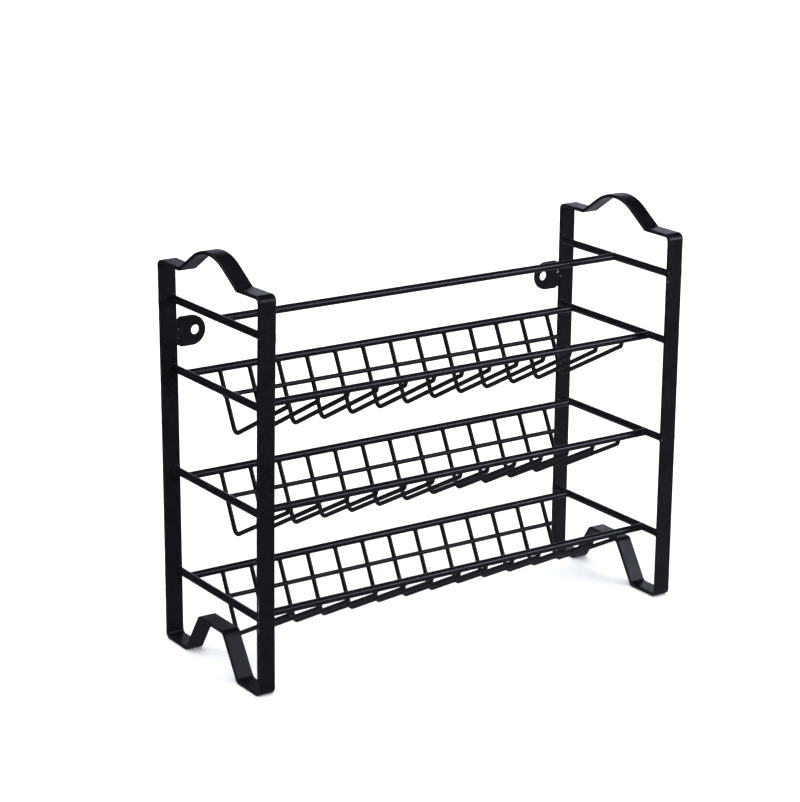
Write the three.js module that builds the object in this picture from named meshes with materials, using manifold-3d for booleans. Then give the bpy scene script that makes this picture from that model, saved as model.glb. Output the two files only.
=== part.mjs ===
// A three-tier spice rack welded from black powder-coated steel strip, round bar and wire.
//
// Millimetres. +X runs along the rack's length, -Y is the front, where the jars face out, +Y is the wall side,
// and +Z is up. The origin is on the surface that the rack stands on, under the middle of its footprint.
//
// Two side frames, each one flat strip bent into a closed loop, stand at the ends. Four round crossbars run
// front to back across each frame. A top rail and, on each tier, a back rail and a front rail join the two
// frames. Bent wires hang between the back and front rail of a tier and make its tilted trough, and one
// straight wire per tier ties their back legs together.

import * as THREE from "three";
import { mergeVertices } from "three/addons/utils/BufferGeometryUtils.js";
import Module from "manifold-3d";

const wasm = await Module();
wasm.setup();

// Overall size
const LENGTH = 337;
const DEPTH = 122.2;
const SHOULDER_HEIGHT = 262.1;

// Stock
const STRIP_WIDTH = 12;
const STRIP_THICKNESS = 2.5;
const BAR_DIAMETER = 5;
const WIRE_DIAMETER = 3;
const WELD_GAP = 0.3; // what each butt joint leaves open for its weld

// Side frame
const NOTCH_HEIGHT = 28; // clear height under the raised middle of the foot
const NOTCH_TOP_HALF = 14.8;
const NOTCH_MOUTH_HALF = 32.9;
const ARCH_HALF = 34.7; // half the handle arch's chord at the shoulders
const ARCH_SLOPE = 34.2; // degrees, the handle's straight flanks
const ARCH_CREST_RADIUS = 32; // radii are those of the strip's middle line
const CORNER_RADIUS = 3.4;
const FOOT_CORNER_RADIUS = 3.6;
const NOTCH_TOP_RADIUS = 3.1;
const NOTCH_FOOT_RADIUS = 3.8;
const SHOULDER_RADIUS = 3.8;

// Wall tabs, flush with the back uprights
const TAB_HEIGHT = 20.3;
const TAB_REACH = 20.9; // from the upright's inner edge to the round tip
const TAB_THICKNESS = 2;
const TAB_CORNER_RADIUS = 2.9;
const TAB_MIDDLE_Z = 211.4;
const TAB_HOLE_DIAMETER = 6.5;
const TAB_HOLE_FROM_TIP = 7.5;
const TAB_LAP = 0.5; // how far the tab runs into the strip that it is welded to

// Crossbars and rails
const LOWEST_TIER_Z = 47.1;
const TIER_PITCH = 70.3;
const TOP_BAR_Z = 234.7;
const TIER_NAMES = ["bottom", "middle", "top"];
const BACK_RAIL_Y = 44.7;
const FRONT_RAIL_Y = -41.2;
const BAR_INSET = 2.2; // crossbar's middle line, outward from the strip's inner edge

// Trough wires: middle-line corners, measured from the tier's rails
const WIRES_PER_TIER = 13;
const WIRE_PITCH = 22.33;
const TROUGH_Y = 24.7;
const TROUGH_DROP = 40.4;
const LIP_DROP = 4.5;
const TROUGH_RADIUS = 4.2;
const LIP_RADIUS = 2.4;
const TIE_WIRE_ALONG = 18.8; // from the back rail's middle line down the back leg to the tie wire
const TIE_WIRE_HALF = 137.5;

// Facets
const BEND_STEPS = 4;
const LIP_STEPS = 3;
const CREST_STEPS = 12;
const TAB_STEPS = 12;
const BAR_SIDES = 12;
const WIRE_SIDES = 8;

// Powder coat
const COAT_COLOUR = 0x181b20;
const COAT_METALNESS = 0.1;
const STRIP_ROUGHNESS = 0.5;
const BAR_ROUGHNESS = 0.4;
const WIRE_ROUGHNESS = 0.55;

const STRIP_X = (LENGTH - STRIP_WIDTH) / 2;
const STRIP_INNER_X = LENGTH / 2 - STRIP_WIDTH;
const CROSSBAR_X = STRIP_INNER_X + BAR_INSET;
const BAR_RADIUS = BAR_DIAMETER / 2;
const WIRE_RADIUS = WIRE_DIAMETER / 2;

function blackPowderCoat(roughness) {
  return new THREE.MeshStandardMaterial({
    color: COAT_COLOUR,
    roughness,
    metalness: COAT_METALNESS,
  });
}

// The points of a closed line with round corners. Each corner is { at, radius, steps }, in order round the line.
// A positive offset moves the line to the left of its direction, and its bends keep their centres.
function roundedLoop(corners, offset) {
  return corners.flatMap((corner, i) => {
    const before = corners[(i + corners.length - 1) % corners.length].at;
    const after = corners[(i + 1) % corners.length].at;
    return bendPoints(before, corner, after, offset);
  });
}

// The arc that rounds one corner, between the straight runs from before and to after.
function bendPoints(before, { at, radius, steps }, after, offset) {
  const inward = at.clone().sub(before).normalize();
  const outward = after.clone().sub(at).normalize();
  const turn = Math.atan2(inward.cross(outward), inward.dot(outward));
  const side = Math.sign(turn);
  const start = at.clone().addScaledVector(inward, -radius * Math.tan(Math.abs(turn) / 2));
  const leftOfInward = new THREE.Vector2(-inward.y, inward.x);
  const centre = start.clone().addScaledVector(leftOfInward, side * radius);
  const spoke = leftOfInward.multiplyScalar(offset - side * radius);
  const points = [];
  for (let k = 0; k <= steps; k += 1) {
    points.push(spoke.clone().rotateAround(new THREE.Vector2(), (turn * k) / steps).add(centre));
  }
  return points;
}

function corner(y, z, radius, steps = BEND_STEPS) {
  return { at: new THREE.Vector2(y, z), radius, steps };
}

// The side frame's middle line, anticlockwise in the YZ plane as seen from +X.
function frameCorners() {
  const half = STRIP_THICKNESS / 2;
  const y = DEPTH / 2 - half;
  const footZ = half;
  const shoulderZ = SHOULDER_HEIGHT - half;
  const slope = Math.tan(THREE.MathUtils.degToRad(ARCH_SLOPE));
  const archY = ARCH_HALF - half * Math.tan(THREE.MathUtils.degToRad(ARCH_SLOPE / 2));
  const apexZ = shoulderZ + archY * slope;
  const lean = Math.atan2(NOTCH_MOUTH_HALF - NOTCH_TOP_HALF, NOTCH_HEIGHT);
  const notchY = (z) => NOTCH_MOUTH_HALF + half / Math.cos(lean) - z * Math.tan(lean);
  const notchZ = NOTCH_HEIGHT + half;
  return [
    corner(notchY(footZ), footZ, NOTCH_FOOT_RADIUS),
    corner(y, footZ, FOOT_CORNER_RADIUS),
    corner(y, shoulderZ, CORNER_RADIUS),
    corner(archY, shoulderZ, SHOULDER_RADIUS),
    corner(0, apexZ, ARCH_CREST_RADIUS, CREST_STEPS),
    corner(-archY, shoulderZ, SHOULDER_RADIUS),
    corner(-y, shoulderZ, CORNER_RADIUS),
    corner(-y, footZ, FOOT_CORNER_RADIUS),
    corner(-notchY(footZ), footZ, NOTCH_FOOT_RADIUS),
    corner(-notchY(notchZ), notchZ, NOTCH_TOP_RADIUS),
    corner(notchY(notchZ), notchZ, NOTCH_TOP_RADIUS),
  ];
}

// The bent strip: the band between the loop's outer and inner faces, extruded across the strip's width.
function stripLoop() {
  const corners = frameCorners();
  const band = new THREE.Shape(roundedLoop(corners, -STRIP_THICKNESS / 2));
  band.holes.push(new THREE.Path(roundedLoop(corners, STRIP_THICKNESS / 2)));
  const strip = new THREE.ExtrudeGeometry(band, { depth: STRIP_WIDTH, bevelEnabled: false });
  strip.translate(0, 0, -STRIP_WIDTH / 2);
  return extrusionToYZ(strip);
}

// Turns an extrusion drawn in (y, z) and raised along its own depth so that its depth runs along +X.
function extrusionToYZ(geometry) {
  const basis = new THREE.Matrix4().makeBasis(
    new THREE.Vector3(0, 1, 0),
    new THREE.Vector3(0, 0, 1),
    new THREE.Vector3(1, 0, 0),
  );
  return geometry.applyMatrix4(basis);
}

// A wall tab for the left frame, drawn in (x, z): square end on the strip's edge, round tip with a screw hole.
function wallTab() {
  const edge = STRIP_WIDTH / 2 - TAB_LAP;
  const tip = STRIP_WIDTH / 2 + TAB_REACH;
  const radius = TAB_HEIGHT / 2;
  const root = STRIP_WIDTH / 2 + TAB_CORNER_RADIUS;
  const plate = new THREE.Shape();
  plate.moveTo(edge, TAB_CORNER_RADIUS - radius);
  plate.lineTo(STRIP_WIDTH / 2, TAB_CORNER_RADIUS - radius);
  plate.absarc(root, TAB_CORNER_RADIUS - radius, TAB_CORNER_RADIUS, Math.PI, 1.5 * Math.PI, false);
  plate.absarc(tip - radius, 0, radius, -Math.PI / 2, Math.PI / 2, false);
  plate.absarc(root, radius - TAB_CORNER_RADIUS, TAB_CORNER_RADIUS, Math.PI / 2, Math.PI, false);
  plate.lineTo(edge, radius - TAB_CORNER_RADIUS);
  plate.closePath();
  const hole = new THREE.Path();
  hole.absarc(tip - TAB_HOLE_FROM_TIP, 0, TAB_HOLE_DIAMETER / 2, 0, 2 * Math.PI, true);
  plate.holes.push(hole);
  const tab = new THREE.ExtrudeGeometry(plate, {
    depth: TAB_THICKNESS,
    bevelEnabled: false,
    curveSegments: TAB_STEPS,
  });
  tab.rotateX(Math.PI / 2);
  tab.translate(0, DEPTH / 2, TAB_MIDDLE_Z);
  return tab;
}

function toSolid(geometry) {
  const bare = new THREE.BufferGeometry();
  bare.setAttribute("position", geometry.getAttribute("position"));
  if (geometry.index) bare.setIndex(geometry.index);
  const merged = mergeVertices(bare, 1e-4);
  return new wasm.Manifold(
    new wasm.Mesh({
      numProp: 3,
      vertProperties: merged.getAttribute("position").array,
      triVerts: new Uint32Array(merged.index.array),
    }),
  );
}

function toGeometry(solid) {
  const { vertProperties, triVerts } = solid.getMesh();
  const geometry = new THREE.BufferGeometry();
  geometry.setAttribute("position", new THREE.BufferAttribute(vertProperties, 3));
  geometry.setIndex(new THREE.BufferAttribute(triVerts, 1));
  geometry.computeVertexNormals();
  return geometry;
}

function sideFrame(side) {
  const welded = toSolid(stripLoop()).add(toSolid(wallTab()));
  const frame = new THREE.Mesh(toGeometry(welded), blackPowderCoat(STRIP_ROUGHNESS));
  frame.name = side < 0 ? "side_frame_left" : "side_frame_right";
  frame.position.x = side * STRIP_X;
  frame.scale.x = -side;
  return frame;
}

// A straight round bar between two points.
function bar(name, from, to, diameter, sides) {
  const geometry = new THREE.CylinderGeometry(diameter / 2, diameter / 2, from.distanceTo(to), sides);
  const mesh = new THREE.Mesh(geometry, blackPowderCoat(BAR_ROUGHNESS));
  mesh.name = name;
  mesh.position.copy(from).lerp(to, 0.5);
  mesh.quaternion.setFromUnitVectors(
    new THREE.Vector3(0, 1, 0),
    to.clone().sub(from).normalize(),
  );
  return mesh;
}

function crossbar(name, side, z) {
  const y = DEPTH / 2 - STRIP_THICKNESS - WELD_GAP;
  const x = side * CROSSBAR_X;
  return bar(name, new THREE.Vector3(x, -y, z), new THREE.Vector3(x, y, z), BAR_DIAMETER, BAR_SIDES);
}

function rail(name, y, z) {
  const x = CROSSBAR_X - BAR_RADIUS - WELD_GAP;
  return bar(name, new THREE.Vector3(-x, y, z), new THREE.Vector3(x, y, z), BAR_DIAMETER, BAR_SIDES);
}

// A wire's middle line as a list of stations, so that an extrusion spends its steps only where the wire turns.
class StationPath extends THREE.Curve {
  constructor(stations) {
    super();
    this.stations = stations;
  }

  getPoint(t, target = new THREE.Vector3()) {
    const last = this.stations.length - 1;
    const index = Math.min(Math.floor(t * last), last - 1);
    return target.lerpVectors(this.stations[index], this.stations[index + 1], t * last - index);
  }

  getPointAt(u, target) {
    return this.getPoint(u, target);
  }

  getTangentAt(u, target = new THREE.Vector3()) {
    const last = this.stations.length - 1;
    const index = Math.round(u * last);
    const here = this.stations[index];
    const back = this.stations[Math.max(index - 1, 0)];
    const ahead = this.stations[Math.min(index + 1, last)];
    const arriving = here.clone().sub(back).normalize();
    const leaving = ahead.clone().sub(here).normalize();
    return target.addVectors(arriving, leaving).normalize();
  }
}

// The trough wire's middle line in (y, z), from the back rail down to the trough and up to the front rail.
function troughCorners() {
  return {
    backEnd: new THREE.Vector2(BACK_RAIL_Y, 0),
    trough: corner(TROUGH_Y, -TROUGH_DROP, TROUGH_RADIUS),
    lip: corner(FRONT_RAIL_Y, -LIP_DROP, LIP_RADIUS, LIP_STEPS),
    frontEnd: new THREE.Vector2(FRONT_RAIL_Y, 0),
  };
}

function troughStations() {
  const { backEnd, trough, lip, frontEnd } = troughCorners();
  const clearOfRail = BAR_RADIUS + WELD_GAP;
  const backLeg = trough.at.clone().sub(backEnd).normalize();
  const points = [
    backEnd.clone().addScaledVector(backLeg, clearOfRail),
    ...bendPoints(backEnd, trough, lip.at, 0),
    ...bendPoints(trough.at, lip, frontEnd, 0),
    new THREE.Vector2(frontEnd.x, frontEnd.y - clearOfRail),
  ];
  return points.map((point) => new THREE.Vector3(0, point.x, point.y));
}

function regularPolygon(radius, sides) {
  const corners = [];
  for (let k = 0; k < sides; k += 1) {
    const angle = (2 * Math.PI * k) / sides;
    corners.push(new THREE.Vector2(radius * Math.cos(angle), radius * Math.sin(angle)));
  }
  return new THREE.Shape(corners);
}

function troughWire(name, x, z) {
  const stations = troughStations();
  const geometry = new THREE.ExtrudeGeometry(regularPolygon(WIRE_RADIUS, WIRE_SIDES), {
    steps: stations.length - 1,
    extrudePath: new StationPath(stations),
  });
  const wire = new THREE.Mesh(geometry, blackPowderCoat(WIRE_ROUGHNESS));
  wire.name = name;
  wire.position.set(x, 0, z);
  return wire;
}

// The straight wire welded along the inner side of a tier's back legs.
function tieWire(name, z) {
  const { backEnd, trough } = troughCorners();
  const alongLeg = trough.at.clone().sub(backEnd).normalize();
  const inward = new THREE.Vector2(alongLeg.y, -alongLeg.x);
  const middle = backEnd.clone();
  middle.addScaledVector(alongLeg, TIE_WIRE_ALONG);
  middle.addScaledVector(inward, WIRE_DIAMETER + WELD_GAP);
  return bar(
    name,
    new THREE.Vector3(-TIE_WIRE_HALF, middle.x, z + middle.y),
    new THREE.Vector3(TIE_WIRE_HALF, middle.x, z + middle.y),
    WIRE_DIAMETER,
    WIRE_SIDES,
  );
}

function tier(name, z) {
  const parts = new THREE.Group();
  parts.add(crossbar(`${name}_crossbar_left`, -1, z));
  parts.add(crossbar(`${name}_crossbar_right`, 1, z));
  parts.add(rail(`${name}_back_rail`, BACK_RAIL_Y, z));
  parts.add(rail(`${name}_front_rail`, FRONT_RAIL_Y, z));
  parts.add(tieWire(`${name}_tie_wire`, z));
  for (let i = 0; i < WIRES_PER_TIER; i += 1) {
    const x = (i - (WIRES_PER_TIER - 1) / 2) * WIRE_PITCH;
    const number = String(i + 1).padStart(2, "0");
    parts.add(troughWire(`${name}_trough_wire_${number}`, x, z));
  }
  return parts;
}

const rack = new THREE.Group();
rack.add(sideFrame(-1));
rack.add(sideFrame(1));
rack.add(crossbar("handle_crossbar_left", -1, TOP_BAR_Z));
rack.add(crossbar("handle_crossbar_right", 1, TOP_BAR_Z));
rack.add(rail("handle_rail", 0, TOP_BAR_Z));
TIER_NAMES.forEach((name, i) => {
  rack.add(tier(name, LOWEST_TIER_Z + i * TIER_PITCH));
});

export default rack;
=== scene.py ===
"""The looks of a three-tier spice rack, welded from black powder-coated steel strip, round bar and wire.

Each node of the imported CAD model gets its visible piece, and a side frame gets two: its strip and its wall tab. The
pieces lie where the nodes lie, but for the few millimetres by which the left frame leans and the tabs and troughs
stray. The strip gets its rounded mill edges and clean bends, and the bars and wires get round sections and smooth
bends. The welds, which the CAD model leaves as small gaps, are pieces of their own and replace no node.

Lengths in the constants are millimetres, but for the stage, lights and camera, which are in metres like the meshes.
"""

import math
import random

import bmesh
import bpy
from mathutils import Matrix, Vector, noise


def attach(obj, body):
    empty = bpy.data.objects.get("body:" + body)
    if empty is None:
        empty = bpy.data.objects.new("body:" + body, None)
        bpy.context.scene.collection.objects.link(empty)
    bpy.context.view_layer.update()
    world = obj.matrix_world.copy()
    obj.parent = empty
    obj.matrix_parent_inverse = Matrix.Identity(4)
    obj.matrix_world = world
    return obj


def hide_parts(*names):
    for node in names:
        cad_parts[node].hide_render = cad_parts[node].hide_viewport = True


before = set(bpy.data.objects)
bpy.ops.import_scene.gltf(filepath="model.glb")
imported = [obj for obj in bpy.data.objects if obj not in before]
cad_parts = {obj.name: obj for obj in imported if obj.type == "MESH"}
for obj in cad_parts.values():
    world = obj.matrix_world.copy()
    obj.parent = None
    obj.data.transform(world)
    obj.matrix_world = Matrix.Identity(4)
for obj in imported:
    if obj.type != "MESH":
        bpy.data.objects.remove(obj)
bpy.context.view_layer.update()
rng = random.Random(20)

MM = 0.001

# Overall size and stock, as in the CAD model
LENGTH = 337
DEPTH = 122.2
SHOULDER_HEIGHT = 262.1
STRIP_WIDTH = 12
STRIP_THICKNESS = 2.5
COAT_THICKNESS = 0.07  # of the powder, on top of the nominal radius of bars and wires
BAR_RADIUS = 2.5 + COAT_THICKNESS
WIRE_RADIUS = 1.5 + COAT_THICKNESS

# Side frame
NOTCH_HEIGHT = 28
NOTCH_TOP_HALF = 14.8
NOTCH_MOUTH_HALF = 32.9
ARCH_HALF = 34.7
ARCH_SLOPE = math.radians(34.2)
ARCH_CREST_RADIUS = 32
CORNER_RADIUS = 3.4
FOOT_CORNER_RADIUS = 3.6
NOTCH_TOP_RADIUS = 3.1
NOTCH_FOOT_RADIUS = 3.8
SHOULDER_RADIUS = 3.8

# Wall tab
TAB_HEIGHT = 20.3
TAB_REACH = 20.9
TAB_THICKNESS = 2
TAB_CORNER_RADIUS = 2.9
TAB_MIDDLE_Z = 211.4
TAB_HOLE_DIAMETER = 6.5
TAB_HOLE_FROM_TIP = 7.5

# Crossbars, rails and tiers
LOWEST_TIER_Z = 47.1
TIER_PITCH = 70.3
TOP_BAR_Z = 234.7
TIER_NAMES = ["bottom", "middle", "top"]
BACK_RAIL_Y = 44.7
FRONT_RAIL_Y = -41.2
BAR_INSET = 2.2

# Trough wires
WIRES_PER_TIER = 13
WIRE_PITCH = 22.33
TROUGH_Y = 24.7
TROUGH_DROP = 40.4
LIP_DROP = 4.5
TROUGH_RADIUS = 4.2
LIP_RADIUS = 2.4
TIE_WIRE_ALONG = 18.8
TIE_WIRE_HALF = 137.5

# How bars, rails and wires meet
BUTT_OVERLAP = 0.1  # how far a crossbar runs into the strip
RAIL_SETBACK = 0.6  # a rail's end lies this far short of the crossbar's middle line
WIRE_SINK = 0.5  # a trough wire's end lies this far under the rail's surface
WIRE_WANDER = 0.25  # how far a trough's bends stray, either way
TIE_OVERLAP = 0.1  # how far the tie wire is pressed into the back legs
BAR_PIECE = 12  # length of the pieces that a straight bar's mesh is cut into
WIRE_PIECE = 8

# Finish of the stock
STRIP_EDGE_RADIUS = 0.95
ROLLED_OVERWIDTH = 0.3  # how far the rolled strip edges stand past the nominal width, each side
TAB_EDGE_RADIUS = 0.3
BEND_BULGE = 0.22  # how far a tight bend squeezes the strip's edge out on its inner side
GENTLE_BEND = 0.3  # bends below this share of a corner's curvature squeeze nothing out
WELD_DENT = 0.3  # how far a weld's pressure spreads the strip's edges
DENT_LENGTH = 2.2
UPRIGHT_BAND = 6  # how close to the frame's front or back the strip counts as an upright
EDGE_WAVE = 0.05  # how far the strip's edges wander
WAVE_SCALE = 0.06
TAB_SLIT = 0.45  # open slit between tab and strip, bridged by tack welds
CUT_CHAMFER = 0.35
FRONT_SPRING = (0.9, -3.3, 1.8)  # how far the top of the left frame's front stands from true
BACK_SPRING = (0, 2.1, 0)
SPRING_PIVOT_Y = 30  # the left frame is true along this line
FRONT_SPRING_SPAN = 90  # the lean grows over this distance in front of it
BACK_SPRING_SPAN = 30
TAB_SHIFTS = {-1: (0.65, 0, 0), 1: (-0.9, 0, -1.2)}  # how far each wall tab sits from its nominal place
TROUGH_RISE = {"bottom": 0.6, "middle": 1.2, "top": 0}  # how much shallower the troughs get towards the right end
SCUFF_AND_HIGHLIGHT_HEIGHT = 80  # the left front foot's outer corner is scuffed up to here, and the scuff also stands in for the highlight on that edge: partly wear, partly a painted highlight
SCUFF_AND_HIGHLIGHT_BAND = 5  # and this far back from the frame's front
SCUFF_AND_HIGHLIGHT_DEPTH = 0.85  # only the part of the edge that lies farther out than this is scuffed and painted lighter

# Welds
CROSSBAR_FILLET = 1.15
RAIL_FILLET = 1.2
BACK_WIRE_FILLET = 0.8
FRONT_WIRE_FILLET = 0.7
TIE_NUGGET = (1.25, 1.25, 0.75)
FILLET_SINK = 0.5  # how far a fillet's hidden rings lie under the surface
FILLET_OVERLAP = 0.7  # how far a fillet reaches into the bar that it surrounds
FILLET_LUMPS = 0.35
NUGGET_LUMPS = 0.22
SADDLE_FLOOR = 0.04  # keeps a fillet's foot defined past the sides of a round base, in square millimetres
TACK_HEIGHTS = (-7.3, -4.2, -1.2, 4.7, 7.2)  # of the tab's tack welds, from the tab's middle
# Spatter beside each tab as (distance in from the slit, height from the tab's middle, radius)
TAB_SPECKS = {-1: ((0.5, 2.2, 0.45), (0.3, -3.9, 0.3)), 1: ((2.0, 1.4, 0.45), (-1.5, -1.5, 0.45))}
# Spatter on the right front upright as (height from the top crossbar, radius)
UPRIGHT_SPECKS = ((3.2, 0.35), (1.1, 0.55), (-5.2, 0.6))

# How rubbed the coat is: 1 is a worn edge, and from about 1.3 bare steel shows in spots
EDGE_WEAR = 1.0
TAB_WEAR = 0.3
BAR_WEAR = 0.25
TROUGH_WEAR = 0.2
FILLET_WEAR = 0.55
NUGGET_WEAR = 0.7
# The scuffed foot corner's bare-steel spots are partly wear and partly a painted highlight on that rounded edge
SCUFF_AND_HIGHLIGHT_WEAR, SCUFF_AND_HIGHLIGHT_UNEVENNESS = 1.41, 0.35
BARE_WEAR = 2.0

# Colours
RUBBED_COLOUR = (0.012, 0.013, 0.015)
DUST_COLOUR = (0.03, 0.031, 0.034)
BARE_STEEL_COLOUR = (0.22, 0.22, 0.225)
FLOOR_DARK, FLOOR_LIGHT = (0.94, 0.94, 0.94), (0.97, 0.97, 0.97)
COOL_WHITE = (0.92, 0.98, 1.18)
SKY_COLOUR = (0.95, 0.97, 1.0)

# Coat pattern: noise scales in cells per metre, from clouds of 17 mm down to grain of 0.7 mm
CLOUD_SCALE = 60
PATCH_SCALE = 210
DUST_SCALE = 330
PEEL_SCALE = 560
SCUFF_SCALE = 700
SPECKLE_SCALE = 780
GRAIN_SCALE = 1500
DUST_THRESHOLD = 0.72  # cells whose random value lies above this hold a dust speck
DUST_STRENGTH = 0.5
BARE_FROM, BARE_FULL = 1.95, 2.3  # wear plus noise at which the steel starts to show, and is bare
RUBBED_GLOSS = 0.08  # how much smoother a rubbed edge is
POWDER_GRAIN = 0.03

# Strength of the ground that the gloss sees, and of the sky
CARD_FRONT, CARD_BACK, CARD_RIGHT = 0.04, 0.25, 2.3
SKY_LEFT, SKY_RIGHT, SKY_TOP, SKY_HORIZON = 0.25, 1.05, 1.8, 0.8

# Stage, in metres
FLOOR_HALF = 14.0
CARD_HALF = 6
CARD_Z = -0.002

# Mesh fineness
BEND_STEP = math.radians(6)
STRIP_STEP = 3
MITER_LIMIT = 0.5
TAB_POINTS = 120
BAR_SIDES = 32
WIRE_SIDES = 20

STRIP_X = (LENGTH - STRIP_WIDTH) / 2
STRIP_INNER_X = LENGTH / 2 - STRIP_WIDTH
CROSSBAR_X = STRIP_INNER_X + BAR_INSET
TIER_ZS = [LOWEST_TIER_Z + i * TIER_PITCH for i in range(len(TIER_NAMES))]
BAR_ZS = TIER_ZS + [TOP_BAR_Z]
X_AXIS = Vector((1, 0, 0))
Y_AXIS = Vector((0, 1, 0))
Z_AXIS = Vector((0, 0, 1))


# ---------------------------------------------------------------- meshes

def make_piece(name, verts, faces, wear, coat, nodes, sharp=math.radians(50)):
    """One mesh piece from vertices in mm, in place of the nodes. wear says per vertex how rubbed its coat is."""
    mesh = bpy.data.meshes.new(name)
    mesh.from_pydata([v * MM for v in verts], [], faces)
    mesh.validate()
    layer = mesh.attributes.new("wear", "FLOAT", "POINT")
    layer.data.foreach_set("value", wear)
    shaped = bmesh.new()
    shaped.from_mesh(mesh)
    bmesh.ops.recalc_face_normals(shaped, faces=shaped.faces)
    shaped.to_mesh(mesh)
    shaped.free()
    mesh.polygons.foreach_set("use_smooth", [True] * len(mesh.polygons))
    mesh.set_sharp_from_angle(angle=sharp)
    mesh.materials.append(coat)
    piece = bpy.data.objects.new(name, mesh)
    bpy.context.scene.collection.objects.link(piece)
    weighted = piece.modifiers.new("flat_faces_stay_flat", "WEIGHTED_NORMAL")
    weighted.keep_sharp = True
    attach(piece, "root")
    if nodes:
        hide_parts(*nodes)


def rounded(corners, closed):
    """Points of a line with round bends. corners is a list of (y, z, radius); the ends of an open line aren't bent.
    Returns (y, z, curvature) for each point."""
    points = []
    count = len(corners)
    for i, (y, z, radius) in enumerate(corners):
        here = Vector((y, z))
        if not closed and i in (0, count - 1):
            points.append((y, z, 0.0))
            continue
        before = Vector(corners[i - 1][:2])
        after = Vector(corners[(i + 1) % count][:2])
        inward = (here - before).normalized()
        outward = (after - here).normalized()
        turn = math.atan2(inward.x * outward.y - inward.y * outward.x, inward.dot(outward))
        side = math.copysign(1, turn)
        start = here - inward * radius * math.tan(abs(turn) / 2)
        left = Vector((-inward.y, inward.x))
        centre = start + left * side * radius
        steps = max(3, round(abs(turn) / BEND_STEP))
        for k in range(steps + 1):
            spoke = Matrix.Rotation(turn * k / steps, 2) @ (left * -side * radius)
            at = centre + spoke
            bent = side / radius if 0 < k < steps else 0.5 * side / radius
            points.append((at.x, at.y, bent))
    return points


def subdivided(points, closed, step):
    """The same line with its straight runs cut into lengths of at most step."""
    fine = []
    count = len(points)
    for i, (y, z, bent) in enumerate(points):
        fine.append((y, z, bent))
        if i == count - 1 and not closed:
            break
        y2, z2, _ = points[(i + 1) % count]
        pieces = max(1, math.ceil(math.hypot(y2 - y, z2 - z) / step))
        for k in range(1, pieces):
            fine.append((y + (y2 - y) * k / pieces, z + (z2 - z) * k / pieces, 0.0))
    return fine


def tangents(path, closed):
    """For each point of a path its direction and how much a mitred section widens there."""
    found = []
    count = len(path)
    for i, here in enumerate(path):
        before = path[i - 1] if i > 0 or closed else None
        after = path[(i + 1) % count] if i < count - 1 or closed else None
        arriving = (here - before).normalized() if before is not None else None
        leaving = (after - here).normalized() if after is not None else None
        if arriving is None or leaving is None:
            found.append((arriving or leaving, 1.0))
            continue
        middle = (arriving + leaving).normalized()
        found.append((middle, 1 / max(MITER_LIMIT, middle.dot(leaving))))
    return found


def swept(path, side, section_at, closed):
    """Vertices and faces of a section carried along a path that lies in one plane. side is the unit vector across
    that plane; section_at(i) gives the section's (across, out) points at station i, with out along the cross product
    of side and the path's direction."""
    verts, faces = [], []
    sides = len(section_at(0))
    for i, (at, (along, miter)) in enumerate(zip(path, tangents(path, closed))):
        outward = side.cross(along)
        for across, out in section_at(i):
            verts.append(at + side * across + outward * out * miter)
    rings = len(path)
    for i in range(rings if closed else rings - 1):
        a, b = i * sides, (i + 1) % rings * sides
        for k in range(sides):
            n = (k + 1) % sides
            faces.append((a + k, a + n, b + n, b + k))
    if not closed:
        faces.append(tuple(range(sides)))
        faces.append(tuple((rings - 1) * sides + k for k in range(sides)))
    return verts, faces


def circle(radius, sides):
    return [
        (radius * math.cos(2 * math.pi * k / sides), radius * math.sin(2 * math.pi * k / sides))
        for k in range(sides)
    ]


# ---------------------------------------------------------------- coat materials

def link(tree, source, target):
    tree.links.new(source, target)


def noise_node(tree, place, scale, detail, roughness=0.55):
    node = tree.nodes.new("ShaderNodeTexNoise")
    node.inputs["Scale"].default_value = scale
    node.inputs["Detail"].default_value = detail
    node.inputs["Roughness"].default_value = roughness
    link(tree, place, node.inputs["Vector"])
    return node.outputs["Fac"]


def mapped(tree, value, low, high, to_low, to_high):
    node = tree.nodes.new("ShaderNodeMapRange")
    node.inputs["From Min"].default_value = low
    node.inputs["From Max"].default_value = high
    node.inputs["To Min"].default_value = to_low
    node.inputs["To Max"].default_value = to_high
    link(tree, value, node.inputs["Value"])
    return node.outputs["Result"]


def math_node(tree, operation, a, b):
    node = tree.nodes.new("ShaderNodeMath")
    node.operation = operation
    for socket, value in zip(node.inputs, (a, b)):
        if isinstance(value, (int, float)):
            socket.default_value = value
        else:
            link(tree, value, socket)
    return node.outputs["Value"]


def mixed(tree, factor, a, b):
    node = tree.nodes.new("ShaderNodeMix")
    node.data_type = "RGBA"
    link(tree, factor, node.inputs["Factor"])
    for socket, value in zip((node.inputs[6], node.inputs[7]), (a, b)):
        if isinstance(value, tuple):
            socket.default_value = (*value, 1)
        else:
            link(tree, value, socket)
    return node.outputs[2]


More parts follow.
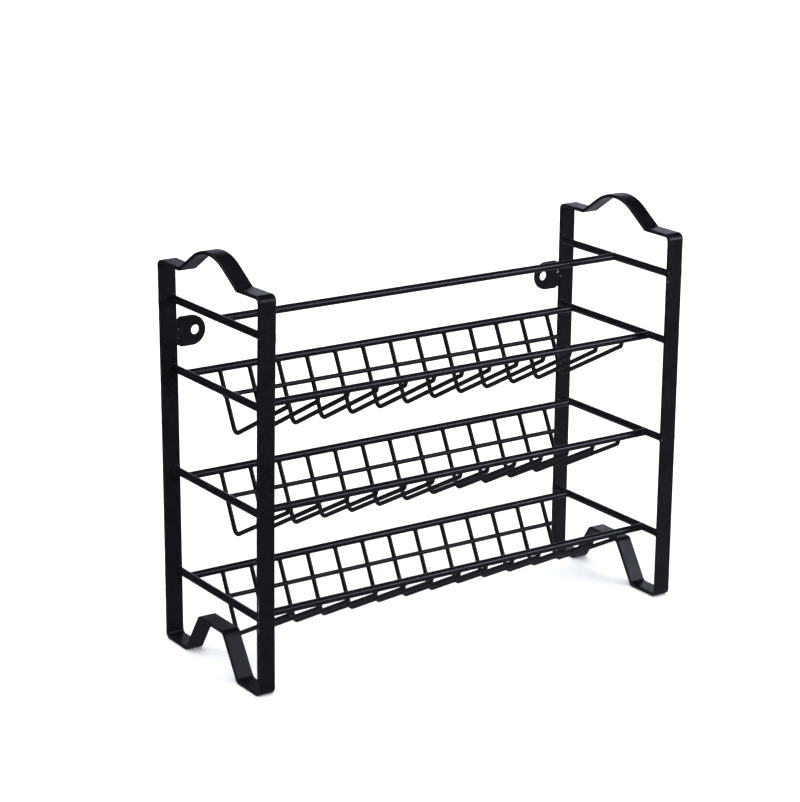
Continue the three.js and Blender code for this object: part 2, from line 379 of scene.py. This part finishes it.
def powder_coat(name, dark, light, roughness, orange_peel_mm, grain_mm=POWDER_GRAIN):
    """Satin black powder coat: soft cloudiness, orange peel, fine powder grain, dust specks and rubbed edges."""
    material = bpy.data.materials.new(name)
    material.use_nodes = True
    tree = material.node_tree
    shader = tree.nodes["Principled BSDF"]
    place = tree.nodes.new("ShaderNodeTexCoord").outputs["Object"]
    cloud = noise_node(tree, place, CLOUD_SCALE, 4)
    peel = noise_node(tree, place, PEEL_SCALE, 3, 0.65)
    grain = noise_node(tree, place, GRAIN_SCALE, 3)
    patches = noise_node(tree, place, PATCH_SCALE, 3, 0.7)
    speckle = noise_node(tree, place, SPECKLE_SCALE, 2)

    attribute = tree.nodes.new("ShaderNodeAttribute")
    attribute.attribute_name = "wear"
    rubbed = math_node(tree, "MULTIPLY", attribute.outputs["Fac"], mapped(tree, patches, 0.42, 0.66, 0, 1))

    cells = tree.nodes.new("ShaderNodeTexVoronoi")
    cells.inputs["Scale"].default_value = DUST_SCALE
    link(tree, place, cells.inputs["Vector"])
    chosen = math_node(tree, "GREATER_THAN", cells.outputs["Color"], DUST_THRESHOLD)
    near_cell = mapped(tree, cells.outputs["Distance"], 0.1, 0.17, 1, 0)
    dust = math_node(tree, "MULTIPLY", near_cell, chosen)

    clouded, speckled = mapped(tree, cloud, 0.35, 0.65, 0, 0.4), mapped(tree, speckle, 0.4, 0.6, 0, 0.6)
    mottle = math_node(tree, "ADD", clouded, speckled)
    colour = mixed(tree, mottle, dark, light)
    colour = mixed(tree, rubbed, colour, RUBBED_COLOUR)
    colour = mixed(tree, math_node(tree, "MULTIPLY", dust, DUST_STRENGTH), colour, DUST_COLOUR)
    scuffs = noise_node(tree, place, SCUFF_SCALE, 2)
    worn = math_node(tree, "ADD", attribute.outputs["Fac"], scuffs)
    bare = mapped(tree, worn, BARE_FROM, BARE_FULL, 0, 1)
    colour = mixed(tree, bare, colour, BARE_STEEL_COLOUR)
    link(tree, colour, shader.inputs["Base Color"])

    gloss = math_node(tree, "ADD", mapped(tree, cloud, 0.3, 0.7, -0.05, 0.05), roughness)
    gloss = math_node(tree, "ADD", gloss, mapped(tree, grain, 0.3, 0.7, -0.05, 0.05))
    gloss = math_node(tree, "SUBTRACT", gloss, math_node(tree, "MULTIPLY", rubbed, RUBBED_GLOSS))
    link(tree, gloss, shader.inputs["Roughness"])

    coarse = tree.nodes.new("ShaderNodeBump")
    coarse.inputs["Strength"].default_value = 1
    coarse.inputs["Distance"].default_value = orange_peel_mm * MM
    link(tree, peel, coarse.inputs["Height"])
    fine = tree.nodes.new("ShaderNodeBump")
    fine.inputs["Strength"].default_value = 1
    fine.inputs["Distance"].default_value = grain_mm * MM
    link(tree, math_node(tree, "ADD", grain, dust), fine.inputs["Height"])
    link(tree, coarse.outputs["Normal"], fine.inputs["Normal"])
    link(tree, fine.outputs["Normal"], shader.inputs["Normal"])

    shader.inputs["Metallic"].default_value = 0
    shader.inputs["IOR"].default_value = 1.5
    shader.inputs["Specular IOR Level"].default_value = 0.5
    return material


strip_coat = powder_coat("strip_coat", (0.0016, 0.0017, 0.0021), (0.0042, 0.005, 0.0069), 0.35, 0.09)
bar_coat = powder_coat("bar_coat", (0.0022, 0.0024, 0.0029), (0.0048, 0.0056, 0.0072), 0.27, 0.012, 0.016)
wire_coat = powder_coat("wire_coat", (0.0028, 0.003, 0.0033), (0.0052, 0.0057, 0.0066), 0.4, 0.03)


# ---------------------------------------------------------------- side frames

def as_built(point, rise=1.0):
    """Where a point of a side frame ends up. The left frame stands slightly open, as if it sprang after bending: the
    top of its front leans forwards, inwards and up, the top of its back leans backwards. rise scales the upward
    part."""
    if point.x > 0:
        return point
    up = (point.z / SHOULDER_HEIGHT) ** 2
    front = min(1.0, max(0.0, (SPRING_PIVOT_Y - point.y) / FRONT_SPRING_SPAN))
    back = min(1.0, max(0.0, (point.y - SPRING_PIVOT_Y) / BACK_SPRING_SPAN))
    along, across, lift = FRONT_SPRING
    return point + Vector((along, across, lift * rise)) * front * up + Vector(BACK_SPRING) * back * up


def frame_corners():
    """The strip's middle line, anticlockwise as (y, z, radius), seen from +X."""
    half = STRIP_THICKNESS / 2
    y = DEPTH / 2 - half
    foot_z = half
    shoulder_z = SHOULDER_HEIGHT - half
    arch_y = ARCH_HALF - half * math.tan(ARCH_SLOPE / 2)
    apex_z = shoulder_z + arch_y * math.tan(ARCH_SLOPE)
    lean = math.atan2(NOTCH_MOUTH_HALF - NOTCH_TOP_HALF, NOTCH_HEIGHT)
    notch_z = NOTCH_HEIGHT + half
    mouth_y, top_y = (
        NOTCH_MOUTH_HALF + half / math.cos(lean) - z * math.tan(lean) for z in (foot_z, notch_z)
    )
    return [
        (mouth_y, foot_z, NOTCH_FOOT_RADIUS),
        (y, foot_z, FOOT_CORNER_RADIUS),
        (y, shoulder_z, CORNER_RADIUS),
        (arch_y, shoulder_z, SHOULDER_RADIUS),
        (0, apex_z, ARCH_CREST_RADIUS),
        (-arch_y, shoulder_z, SHOULDER_RADIUS),
        (-y, shoulder_z, CORNER_RADIUS),
        (-y, foot_z, FOOT_CORNER_RADIUS),
        (-mouth_y, foot_z, NOTCH_FOOT_RADIUS),
        (-top_y, notch_z, NOTCH_TOP_RADIUS),
        (top_y, notch_z, NOTCH_TOP_RADIUS),
    ]


def strip_section():
    """The flat strip's section with rounded mill edges, as (across, inward, wear)."""
    half_width = STRIP_WIDTH / 2 + ROLLED_OVERWIDTH
    half_thick = STRIP_THICKNESS / 2
    edge = STRIP_EDGE_RADIUS
    points = []
    for sign_a, sign_o, start in ((1, -1, -90), (1, 1, 0), (-1, 1, 90), (-1, -1, 180)):
        for degrees in (0, 22.5, 45, 67.5, 90):
            angle = math.radians(start + degrees)
            across = sign_a * (half_width - edge) + edge * math.cos(angle)
            inward = sign_o * (half_thick - edge) + edge * math.sin(angle)
            points.append((across, inward, EDGE_WEAR if 0 < degrees < 90 else 0))
    return points


def side_frame(side):
    """One strip frame, spread a little at its welds and bulged at its bends. side is -1 for left and 1 for right."""
    name = "left" if side < 0 else "right"
    line = subdivided(rounded(frame_corners(), True), True, STRIP_STEP)
    path = [Vector((side * STRIP_X, y, z)) for y, z, _ in line]
    section = strip_section()
    dents = [
        (z, y_sign, rng.uniform(0.35, 1), rng.choice((-1, 1)))
        for z in BAR_ZS
        for y_sign in (-1, 1)
    ]
    smooth_bend = [sum(line[(i + k) % len(line)][2] for k in (-1, 0, 1)) / 3 for i in range(len(line))]

    def section_at(i):
        y, z, _ = line[i]
        tight = smooth_bend[i] * CORNER_RADIUS
        moved = []
        for across, inward, _ in section:
            widen = BEND_BULGE * tight * inward / STRIP_THICKNESS * 2 if abs(tight) > GENTLE_BEND else 0
            for dent_z, y_sign, amount, edge_side in dents:
                if y * y_sign > DEPTH / 2 - UPRIGHT_BAND and across * edge_side > 0:
                    widen += WELD_DENT * amount * math.exp(-((z - dent_z) / DENT_LENGTH) ** 2)
            wave = EDGE_WAVE * noise.noise(Vector((side, y, z)) * WAVE_SCALE)
            moved.append((across + math.copysign(widen + wave, across), inward))
        return moved

    verts, faces = swept(path, X_AXIS, section_at, True)
    verts = [as_built(v) for v in verts]
    wear = []
    for y, z, _ in line:
        # The left front foot's outer rounded edge gets bare-steel scuff spots: partly wear, partly a painted
        # highlight on that edge
        low_front_corner = side < 0 and y < SCUFF_AND_HIGHLIGHT_BAND - DEPTH / 2 and z < SCUFF_AND_HIGHLIGHT_HEIGHT
        uneven = SCUFF_AND_HIGHLIGHT_WEAR + SCUFF_AND_HIGHLIGHT_UNEVENNESS * noise.noise(Vector((0.4, 3.3, z * 0.08)))
        for across, inward, edge in section:
            scuffed_and_highlit = low_front_corner and across < 0 and inward < -SCUFF_AND_HIGHLIGHT_DEPTH and edge
            wear.append(uneven if scuffed_and_highlit else edge)
    nodes = [f"side_frame_{name}"]
    make_piece(f"{name}_strip_frame", verts, faces, wear, strip_coat, nodes)


def tab_outline():
    """The wall tab's outline as (distance from the strip's edge, height), anticlockwise from its lower root."""
    half = TAB_HEIGHT / 2
    radius = TAB_CORNER_RADIUS
    tip_x = TAB_REACH - half
    outline = []

    def arc(cx, cz, r, start, end, steps):
        for k in range(steps + 1):
            angle = math.radians(start + (end - start) * k / steps)
            outline.append((cx + r * math.cos(angle), cz + r * math.sin(angle)))

    arc(TAB_SLIT + radius, radius - half, radius, 180, 270, 8)
    arc(tip_x, 0, half, -90, 90, 48)
    arc(TAB_SLIT + radius, half - radius, radius, 90, 180, 8)
    return outline


def resampled(outline, count):
    """count points evenly spaced along a closed outline."""
    lengths = [0.0]
    closed = outline + outline[:1]
    for a, b in zip(closed, closed[1:]):
        lengths.append(lengths[-1] + math.dist(a, b))
    points, j = [], 0
    for k in range(count):
        target = lengths[-1] * k / count
        while lengths[j + 1] < target:
            j += 1
        t = (target - lengths[j]) / (lengths[j + 1] - lengths[j])
        a, b = closed[j], closed[j + 1]
        points.append((a[0] + (b[0] - a[0]) * t, a[1] + (b[1] - a[1]) * t))
    return points


def wall_tab(side):
    """A plate with a round tip and a screw hole, as rings from the outline over the faces into the hole."""
    name = "left" if side < 0 else "right"
    outline = resampled(tab_outline(), TAB_POINTS)
    hole_x = TAB_REACH - TAB_HOLE_FROM_TIP
    edge = TAB_EDGE_RADIUS
    normals = []
    for i in range(TAB_POINTS):
        ax, az = outline[i - 1]
        bx, bz = outline[(i + 1) % TAB_POINTS]
        size = math.hypot(bx - ax, bz - az)
        normals.append(((bz - az) / size, -(bx - ax) / size))
    spokes = []
    for x, z in outline:
        angle = math.atan2(z, x - hole_x)
        spokes.append((math.cos(angle), math.sin(angle)))
    quarter = [
        (edge * (1 - math.sin(math.radians(a))), edge * (1 - math.cos(math.radians(a))))
        for a in (0, 30, 60, 90)
    ]
    front = [(inset, TAB_THICKNESS - down) for inset, down in quarter]
    back = [(inset, down) for inset, down in reversed(quarter)]
    rings = [("outer", inset, depth) for inset, depth in front + back]
    rings += [("hole", inset, depth) for inset, depth in reversed(back)]
    rings += [("hole", inset, depth) for inset, depth in reversed(front)]
    verts, wear, faces = [], [], []
    for kind, inset, depth in rings:
        for (x, z), (nx, nz), (sx, sz) in zip(outline, normals, spokes):
            if kind == "outer":
                at_x, at_z = x - nx * inset, z - nz * inset
            else:
                radius = TAB_HOLE_DIAMETER / 2 + inset
                at_x, at_z = hole_x + sx * radius, sz * radius
            nominal = Vector((side * (STRIP_INNER_X - at_x), DEPTH / 2 - depth, TAB_MIDDLE_Z + at_z))
            verts.append(as_built(nominal) + Vector(TAB_SHIFTS[side]))
            wear.append(EDGE_WEAR if 0 < inset < edge else TAB_WEAR)
    for r in range(len(rings)):
        a, b = r * TAB_POINTS, (r + 1) % len(rings) * TAB_POINTS
        for k in range(TAB_POINTS):
            n = (k + 1) % TAB_POINTS
            faces.append((a + k, a + n, b + n, b + k))
    nodes = [f"side_frame_{name}"]
    make_piece(f"{name}_wall_tab", verts, faces, wear, strip_coat, nodes)


# ---------------------------------------------------------------- bars and wires

def straight_bar(name, start, end, radius, side, sides, coat, chamfered=False):
    """A round bar or wire between two points, cut square with a slightly broken edge where its ends show."""
    along = (end - start).normalized()
    length = (end - start).length
    pieces = max(2, round(length / BAR_PIECE))
    if chamfered:
        stops = [0.0, CUT_CHAMFER]
        stops += [CUT_CHAMFER + (length - 2 * CUT_CHAMFER) * k / pieces for k in range(1, pieces)]
        stops += [length - CUT_CHAMFER, length]
    else:
        stops = [length * k / pieces for k in range(pieces + 1)]
    path = [start + along * s for s in stops]
    full = circle(radius, sides)
    cut = circle(radius - CUT_CHAMFER, sides)

    def section_at(i):
        return cut if chamfered and i in (0, len(path) - 1) else full

    verts, faces = swept(path, side, section_at, False)
    make_piece(name, verts, faces, [BAR_WEAR] * len(verts), coat, [name])


def crossbar(name, side, z):
    """A bar across one side frame. Its ends follow the frame's lean, but not upwards."""
    x = side * CROSSBAR_X
    y = DEPTH / 2 - STRIP_THICKNESS + BUTT_OVERLAP
    front = as_built(Vector((x, -y, z)), rise=0)
    back = as_built(Vector((x, y, z)), rise=0)
    straight_bar(name, front, back, BAR_RADIUS, X_AXIS, BAR_SIDES, bar_coat)


def rail(name, y, z):
    """A bar along the rack, between the crossbars of its two side frames."""
    x = CROSSBAR_X - RAIL_SETBACK
    start, end = Vector((-x, y, z)), Vector((x, y, z))
    straight_bar(name, start, end, BAR_RADIUS, Y_AXIS, BAR_SIDES, bar_coat)


def trough_line():
    """The trough wire's middle line in (y, z, radius), from the back rail to the front rail."""
    return [
        (BACK_RAIL_Y, 0, 0),
        (TROUGH_Y, -TROUGH_DROP, TROUGH_RADIUS),
        (FRONT_RAIL_Y, -LIP_DROP, LIP_RADIUS),
        (FRONT_RAIL_Y, 0, 0),
    ]


def back_leg():
    """The direction of the trough wires' back legs, down from the back rail."""
    (y0, z0, _), (y1, z1, _) = trough_line()[:2]
    return Vector((0, y1 - y0, z1 - z0)).normalized()


def trough_wire(name, x, z, rise):
    """One bent wire. Its ends run into the rails, its bends wander a little, and rise makes its trough shallower."""
    corners = trough_line()
    into_rail = BAR_RADIUS - WIRE_SINK
    leg = back_leg()
    corners[0] = (BACK_RAIL_Y + leg.y * into_rail, leg.z * into_rail, 0)
    corners[3] = (FRONT_RAIL_Y, -into_rail, 0)
    slip_x, slip_y, slip_z = (rng.uniform(-WIRE_WANDER, WIRE_WANDER) for _ in range(3))
    corners[1] = (TROUGH_Y + slip_y, -TROUGH_DROP + slip_z + rise, TROUGH_RADIUS)
    line = subdivided(rounded(corners, False), False, WIRE_PIECE)
    path = [Vector((x, y, z + h)) for y, h, _ in line]
    section = circle(WIRE_RADIUS, WIRE_SIDES)
    verts, faces = swept(path, X_AXIS, lambda i: section, False)
    for v in verts:
        fall = min(1.0, max(0.0, (z - v.z) / TROUGH_DROP))
        v.x += slip_x * fall
    make_piece(name, verts, faces, [TROUGH_WEAR] * len(verts), wire_coat, [name])


def tie_point():
    """Where the tie wire's middle line lies, measured from the tier's height, and the direction from the back legs to
    it: the tie wire lies on their inner side."""
    leg = back_leg()
    inner = Vector((0, leg.z, -leg.y))
    return Vector((0, BACK_RAIL_Y, 0)) + leg * TIE_WIRE_ALONG + inner * (2 * WIRE_RADIUS - TIE_OVERLAP), inner


def tie_wire(name, z):
    at, _ = tie_point()
    start = Vector((-TIE_WIRE_HALF, at.y, z + at.z))
    end = Vector((TIE_WIRE_HALF, at.y, z + at.z))
    straight_bar(name, start, end, WIRE_RADIUS, Y_AXIS, WIRE_SIDES, wire_coat, chamfered=True)


# ---------------------------------------------------------------- welds

class Welds:
    """Collects the fillets, nuggets and spatter of one group of joints into one mesh."""

    def __init__(self):
        self.verts, self.faces, self.wear = [], [], []

    def add(self, verts, faces, wear):
        start = len(self.verts)
        self.verts += verts
        self.faces += [tuple(start + k for k in face) for face in faces]
        self.wear += [wear] * len(verts)

    def fillet(self, at, along, radius, size, base_radius=0.0, base_axis=None, keep=None, steps=5, sides=28):
        """A concave weld ring where a round member leaves a flat face or a round one. at is on the face, or on the
        round base's middle line; along points away from it. keep(direction) scales the ring's reach. The rings run
        from under the face up the flank and back down inside the member."""
        axis = base_axis or (X_AXIS if abs(along.x) < 0.5 else Y_AXIS)
        other = along.cross(axis).normalized()
        shift = Vector([rng.uniform(0, 50) for _ in range(3)])
        flank = [("flank", k / steps * math.pi / 2) for k in range(steps + 1)]
        rings = [("sunk foot", 0)] + flank + [("collar", 0), ("sunk collar", 0)]
        verts = []
        for kind, climb in rings:
            for k in range(sides):
                angle = 2 * math.pi * k / sides
                spoke = axis * math.cos(angle) + other * math.sin(angle)
                reach = size * (1 + FILLET_LUMPS * noise.noise(spoke * 1.6 + shift))
                if keep is not None:
                    reach *= keep(spoke)
                rise = size * (1 + FILLET_LUMPS * noise.noise(spoke * 1.9 - shift))
                if kind == "sunk foot":
                    r, lift = radius + reach, -FILLET_SINK
                elif kind == "flank":
                    r = radius + reach * (1 - math.sin(climb))
                    lift = rise * (1 - math.cos(climb))
                elif kind == "collar":
                    r, lift = radius - FILLET_OVERLAP, rise
                else:
                    r, lift = radius - FILLET_OVERLAP, -FILLET_SINK
                least = SADDLE_FLOOR if base_radius else 0
                ground = math.sqrt(max(base_radius ** 2 - (r * math.sin(angle)) ** 2, least))
                verts.append(at + spoke * r + along * (ground + lift))
        faces = []
        count = len(rings)
        for i in range(count):
            a, b = i * sides, (i + 1) % count * sides
            for k in range(sides):
                n = (k + 1) % sides
                faces.append((a + k, a + n, b + n, b + k))
        self.add(verts, faces, FILLET_WEAR)

    def nugget(self, at, size, turn=None, wear=NUGGET_WEAR):
        """A small uneven blob of weld metal, half sunk into what it joins."""
        ball = bmesh.new()
        bmesh.ops.create_icosphere(ball, subdivisions=2, radius=1)
        shift = Vector([rng.uniform(0, 50) for _ in range(3)])
        verts = []
        for v in ball.verts:
            point = v.co * (1 + NUGGET_LUMPS * noise.noise(v.co * 1.4 + shift))
            point = Vector(a * b for a, b in zip(point, size))
            verts.append(at + (turn @ point if turn else point))
        faces = [tuple(v.index for v in f.verts) for f in ball.faces]
        ball.free()
        self.add(verts, faces, wear)

    def spatter(self, at, size):
        """A bead of weld metal too shiny and smooth for the powder to have covered it."""
        self.nugget(at, (size, size, size), wear=BARE_WEAR)

    def make(self, name, coat):
        make_piece(name, self.verts, self.faces, self.wear, coat, [])


def frame_welds(side):
    """The crossbars' welds on one strip frame, the tack welds of its wall tab and the spatter around them."""
    welds = Welds()
    x = side * CROSSBAR_X
    face_y = DEPTH / 2 - STRIP_THICKNESS

    def keep_on_strip(spoke):
        return 1 - 0.8 * max(0.0, -side * spoke.x)

    for z in BAR_ZS:
        for y_sign in (-1, 1):
            at = as_built(Vector((x, y_sign * face_y, z)), rise=0)
            welds.fillet(at, Vector((0, -y_sign, 0)), BAR_RADIUS, CROSSBAR_FILLET, keep=keep_on_strip)
    shift_x, _, shift_z = TAB_SHIFTS[side]
    slit = TAB_SLIT + abs(shift_x)
    edge_x = side * (STRIP_INNER_X - slit / 2)
    tab_front = DEPTH / 2 - TAB_THICKNESS
    for height in TACK_HEIGHTS:
        at = Vector((edge_x, tab_front + 0.9, TAB_MIDDLE_Z + shift_z + height))
        welds.nugget(as_built(at), (0.75 + slit / 2, 1.15, 1.9))
    for inwards, height, size in TAB_SPECKS[side]:
        proud = 0 if inwards > 0 else 0.6
        at = Vector((edge_x - side * inwards, tab_front - 0.05 - proud, TAB_MIDDLE_Z + shift_z + height))
        welds.spatter(as_built(at), size)
    for z in BAR_ZS:
        for y_sign in (-1, 1):
            for _ in range(rng.choice((0, 1, 1, 2))):
                inner_edge = side * (STRIP_INNER_X + rng.uniform(0.2, 0.8))
                at_y = y_sign * (DEPTH / 2 - rng.uniform(0.2, 1))
                at = Vector((inner_edge, at_y, z + rng.uniform(-5, 5)))
                welds.spatter(as_built(at), rng.uniform(0.25, 0.5))
    if side > 0:
        for height, size in UPRIGHT_SPECKS:
            welds.spatter(Vector((STRIP_INNER_X + 0.5, 0.5 - DEPTH / 2, TOP_BAR_Z + height)), size)
    welds.make("left_frame_welds" if side < 0 else "right_frame_welds", strip_coat)


def rail_welds(name, z, ys):
    """The welds where rails butt on the crossbars' inner sides."""
    welds = Welds()

    def keep_on_bar(spoke):
        return 1 - 0.85 * abs(spoke.z)

    for side in (-1, 1):
        for y in ys:
            at = Vector((side * CROSSBAR_X, y, z))
            along = Vector((-side, 0, 0))
            welds.fillet(at, along, BAR_RADIUS, RAIL_FILLET, BAR_RADIUS, Y_AXIS, keep=keep_on_bar)
    welds.make(name, bar_coat)


def wire_welds(name, z, xs):
    """The welds of the trough wires on the two rails and of the tie wire on the back legs."""
    welds = Welds()
    leg = back_leg()
    tie, inner = tie_point()
    for x in xs:
        back = Vector((x, BACK_RAIL_Y, z))
        front = Vector((x, FRONT_RAIL_Y, z))
        welds.fillet(back, leg, WIRE_RADIUS, BACK_WIRE_FILLET, BAR_RADIUS, X_AXIS, sides=20, steps=4)
        welds.fillet(front, -Z_AXIS, WIRE_RADIUS, FRONT_WIRE_FILLET, BAR_RADIUS, X_AXIS, sides=20, steps=4)
        crossing = Vector((x, tie.y, z + tie.z)) - inner * WIRE_RADIUS
        turn = Matrix((X_AXIS, leg, inner)).transposed()
        welds.nugget(crossing, TIE_NUGGET, turn)
    welds.make(name, wire_coat)


# ---------------------------------------------------------------- the rack

for side in (-1, 1):
    side_frame(side)
    wall_tab(side)
    frame_welds(side)
crossbar("handle_crossbar_left", -1, TOP_BAR_Z)
crossbar("handle_crossbar_right", 1, TOP_BAR_Z)
rail("handle_rail", 0, TOP_BAR_Z)
rail_welds("handle_rail_welds", TOP_BAR_Z, [0])

wire_xs = [(i - (WIRES_PER_TIER - 1) / 2) * WIRE_PITCH for i in range(WIRES_PER_TIER)]
for tier, z in zip(TIER_NAMES, TIER_ZS):
    crossbar(f"{tier}_crossbar_left", -1, z)
    crossbar(f"{tier}_crossbar_right", 1, z)
    rail(f"{tier}_back_rail", BACK_RAIL_Y, z)
    rail(f"{tier}_front_rail", FRONT_RAIL_Y, z)
    tie_wire(f"{tier}_tie_wire", z)
    rail_welds(f"{tier}_rail_welds", z, [BACK_RAIL_Y, FRONT_RAIL_Y])
    for i, x in enumerate(wire_xs):
        rise = TROUGH_RISE[tier] * (0.5 + x / LENGTH)
        trough_wire(f"{tier}_trough_wire_{i + 1:02d}", x, z, rise)
    wire_welds(f"{tier}_wire_welds", z, wire_xs)


# ---------------------------------------------------------------- stage, light and camera

def floor_material():
    material = bpy.data.materials.new("pale_floor")
    material.use_nodes = True
    tree = material.node_tree
    shader = tree.nodes["Principled BSDF"]
    place = tree.nodes.new("ShaderNodeTexCoord").outputs["Object"]
    soft = noise_node(tree, place, 3, 3)
    link(tree, mixed(tree, soft, FLOOR_DARK, FLOOR_LIGHT), shader.inputs["Base Color"])
    shader.inputs["Roughness"].default_value = 0.9
    shader.inputs["Specular IOR Level"].default_value = 0.1
    return material


def level_square(name, half, z):
    """A level square mesh around the origin, in metres."""
    mesh = bpy.data.meshes.new(name)
    mesh.from_pydata([(-half, -half, z), (half, -half, z), (half, half, z), (-half, half, z)], [], [(0, 1, 2, 3)])
    return mesh


def make_floor():
    mesh = level_square("floor", FLOOR_HALF, 0)
    mesh.materials.append(floor_material())
    floor = bpy.data.objects.new("floor", mesh)
    bpy.context.scene.collection.objects.link(floor)
    floor.visible_glossy = False


def aimed(obj, at, target, roll=0.0):
    """Puts a lamp or camera at a point in metres, looking at the target, turned by roll about its line of sight."""
    direction = (Vector(target) - Vector(at)).normalized()
    turn = direction.to_track_quat("-Z", "Y").to_matrix().to_4x4()
    obj.matrix_world = Matrix.Translation(Vector(at)) @ turn @ Matrix.Rotation(roll, 4, "Z")


def soft_box(name, at, target, size, power):
    lamp = bpy.data.lights.new(name, "AREA")
    lamp.color = COOL_WHITE
    lamp.shape = "RECTANGLE"
    lamp.size, lamp.size_y = size
    lamp.energy = power
    box = bpy.data.objects.new(name, lamp)
    bpy.context.scene.collection.objects.link(box)
    box.visible_camera = False
    aimed(box, at, target)


def reflection_card():
    """The dim ground that the rack's gloss sees, brighter behind it than in front. Camera, shadows and soft light
    pass it by."""
    mesh = level_square("reflection_card", CARD_HALF, CARD_Z)
    material = bpy.data.materials.new("reflection_card")
    material.use_nodes = True
    tree = material.node_tree
    tree.nodes.remove(tree.nodes["Principled BSDF"])
    glow = tree.nodes.new("ShaderNodeEmission")
    split = tree.nodes.new("ShaderNodeSeparateXYZ")
    link(tree, tree.nodes.new("ShaderNodeTexCoord").outputs["Object"], split.inputs["Vector"])
    depth = mapped(tree, split.outputs["Y"], -0.3, 0.3, CARD_FRONT, CARD_BACK)
    left = mapped(tree, split.outputs["X"], -0.4, -0.1, 0, 1)
    right = mapped(tree, split.outputs["X"], 0, 0.4, 1, CARD_RIGHT)
    strength = math_node(tree, "MULTIPLY", math_node(tree, "MULTIPLY", depth, left), right)
    link(tree, strength, glow.inputs["Strength"])
    glow.inputs["Color"].default_value = (*COOL_WHITE, 1)
    link(tree, glow.outputs["Emission"], tree.nodes["Material Output"].inputs["Surface"])
    mesh.materials.append(material)
    card = bpy.data.objects.new("reflection_card", mesh)
    bpy.context.scene.collection.objects.link(card)
    card.visible_camera = False
    card.visible_diffuse = False
    card.visible_transmission = False
    card.visible_shadow = False


def studio_world():
    """Soft light from all round: dim from the left, brighter from the right, the horizon and above."""
    world = bpy.data.worlds.new("studio")
    bpy.context.scene.world = world
    world.use_nodes = True
    tree = world.node_tree
    split = tree.nodes.new("ShaderNodeSeparateXYZ")
    link(tree, tree.nodes.new("ShaderNodeTexCoord").outputs["Generated"], split.inputs["Vector"])
    sideways = mapped(tree, split.outputs["X"], -0.8, 0.8, SKY_LEFT, SKY_RIGHT)
    upward = mapped(tree, split.outputs["Z"], 0.2, 1, 0, SKY_TOP)
    horizon = mapped(tree, split.outputs["Z"], 0.05, 0.4, SKY_HORIZON, 0)
    background = tree.nodes["Background"]
    background.inputs["Color"].default_value = (*SKY_COLOUR, 1)
    strength = math_node(tree, "ADD", math_node(tree, "ADD", sideways, upward), horizon)
    link(tree, strength, background.inputs["Strength"])
    world.cycles_visibility.glossy = False


make_floor()
reflection_card()
studio_world()
soft_box("key_light", (1.18, -1.47, 0.82), (0, 0, 0.15), (0.65, 0.62), 6.8)
soft_box("back_light", (2.0, 2.1, 0.92), (0, 0, 0.15), (1.9, 0.78), 4.7)
soft_box("rim_light", (-1.62, 0.9, 1.45), (0, 0, 0.15), (1.4, 1.2), 5)
bpy.context.scene.view_settings.view_transform = "Standard"

CAMERA_AT = (-0.91963, -1.33186, 0.64306)
CAMERA_AIM = (-0.01216, 0.01311, 0.15347)
CAMERA_ROLL = math.radians(0.48)
CAMERA_LENS = 112.6

lens = bpy.data.cameras.new("camera")
lens.lens = CAMERA_LENS
lens.sensor_width = 36
lens.clip_end = 100
camera = bpy.data.objects.new("camera", lens)
bpy.context.scene.collection.objects.link(camera)
aimed(camera, CAMERA_AT, CAMERA_AIM, CAMERA_ROLL)
bpy.context.scene.camera = camera
